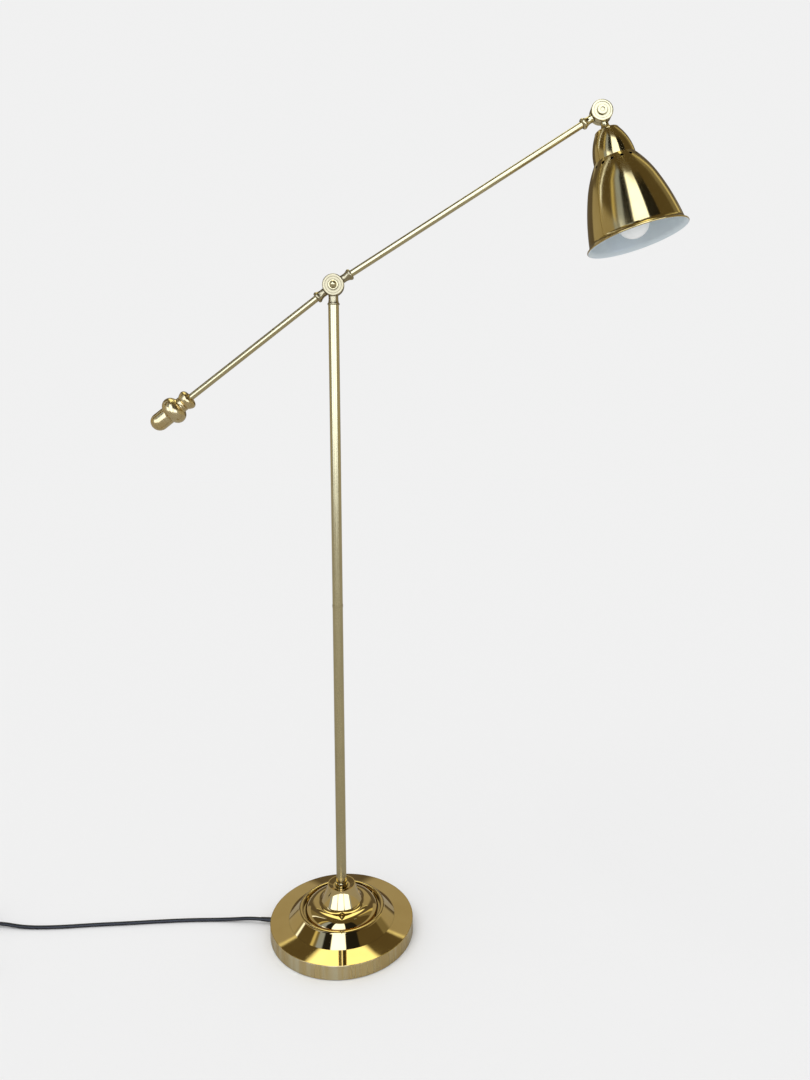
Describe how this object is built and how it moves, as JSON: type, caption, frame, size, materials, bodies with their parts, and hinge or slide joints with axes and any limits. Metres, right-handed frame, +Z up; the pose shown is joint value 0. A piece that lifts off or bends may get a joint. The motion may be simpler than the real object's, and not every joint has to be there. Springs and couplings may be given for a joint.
{
  "type": "floor lamp",
  "caption": "Floor lamp with a round stepped base, a straight pole, a tilting counterweighted arm and a swivelling vented bell shade; its cord has a foot switch and a plug.",
  "frame": {"origin": "centre of the base's underside, on the floor", "axes": "+Z up along the pole; the arm's plane is XZ, with the shade towards +X and the counterweight towards -X; the pivot's knob faces -Y"},
  "size_m": [1.2272, 0.23, 1.2975],
  "materials": {
    "polished_brass": "polished, clear lacquer",
    "satin_brass": "satin, clear lacquer",
    "shade_metal": "spun and brushed, brass plated outside, white enamel inside",
    "cast_weight": "as cast, black dipped",
    "zinc_steel": "zinc plated",
    "pad_rubber": "matt",
    "cord_black": "smooth, satin",
    "black_plastic": "fine texture",
    "nylon": "smooth",
    "holder_plastic": "smooth",
    "pin_metal": "plated",
    "opal_glass": "white, etched"
  },
  "bodies": {
    "stand": {"base_cover": "polished_brass", "base_dome": "polished_brass", "base_weight": "cast_weight", "base_plate": "zinc_steel", "plate_screws": "zinc_steel", "floor_pad": "pad_rubber", "base_washer": "zinc_steel", "base_nut": "zinc_steel", "spacer_tube": "satin_brass", "pole_collar": "satin_brass", "pole_nipple": "zinc_steel", "pole_insert": "zinc_steel", "pole_lower_tube": "satin_brass", "pole_coupling": "satin_brass", "pole_upper_tube": "satin_brass", "pole_swivel": "satin_brass", "pivot_washer": "nylon", "pole_cord": "cord_black", "cord_gland": "cord_black", "cord_run": "cord_black", "cord_link": "cord_black", "cord_coil": "cord_black", "cord_tail": "cord_black", "cord_tie": "black_plastic", "switch_base": "black_plastic", "switch_cover": "black_plastic", "switch_block": "holder_plastic", "plug_body": "black_plastic", "plug_pins": "pin_metal"},
    "arm": {"arm_swivel": "satin_brass", "pivot_cap_nut": "satin_brass", "arm_front_tube": "satin_brass", "arm_rear_tube": "satin_brass", "arm_lead": "nylon", "counterweight_collar": "satin_brass", "counterweight_ring": "satin_brass", "counterweight_body": "polished_brass"},
    "knob": {"pivot_knob": "satin_brass", "pivot_screw": "zinc_steel"},
    "arm_end": {"arm_end_swivel": "satin_brass", "head_cap_nut": "satin_brass", "head_washer": "nylon", "head_pivot_screw": "satin_brass"},
    "head": {"head_swivel": "satin_brass", "shade": "shade_metal", "shade_nut": "zinc_steel", "head_nipple": "zinc_steel", "lampholder_body": "holder_plastic", "lampholder_ring": "holder_plastic", "contact_insert": "holder_plastic", "screw_shell": "satin_brass", "bulb_cap": "zinc_steel", "bulb_glass": "opal_glass"},
    "pedal": {"switch_pedal": "black_plastic"}
  },
  "joints": [
    {"name": "arm_pivot", "type": "hinge", "parent": "stand", "child": "arm", "pos_m": [0, 0, 1.0283], "axis": [0, -1, 0], "range_deg": [-74, 4]},
    {"name": "knob_turn", "type": "hinge", "parent": "stand", "child": "knob", "pos_m": [0, 0, 1.0283], "axis": [0, -1, 0], "range_deg": [0, 270]},
    {"name": "head_swivel", "type": "hinge", "parent": "arm", "child": "arm_end", "pos_m": [0.39815, 0, 1.28029], "axis": [0.845, 0, 0.5348], "range_deg": [-80.6, 99.4]},
    {"name": "head_tilt", "type": "hinge", "parent": "arm_end", "child": "head", "pos_m": [0.39815, 0, 1.28029], "axis": [-0.0885, -0.9862, 0.1399], "range_deg": [-26, 120]},
    {"name": "pedal_press", "type": "slide", "parent": "stand", "child": "pedal", "axis": [0, 0, -1], "range_m": [0, 0.003], "stiffness_N_per_m": 500, "springref_m": -0.002}
  ]
}
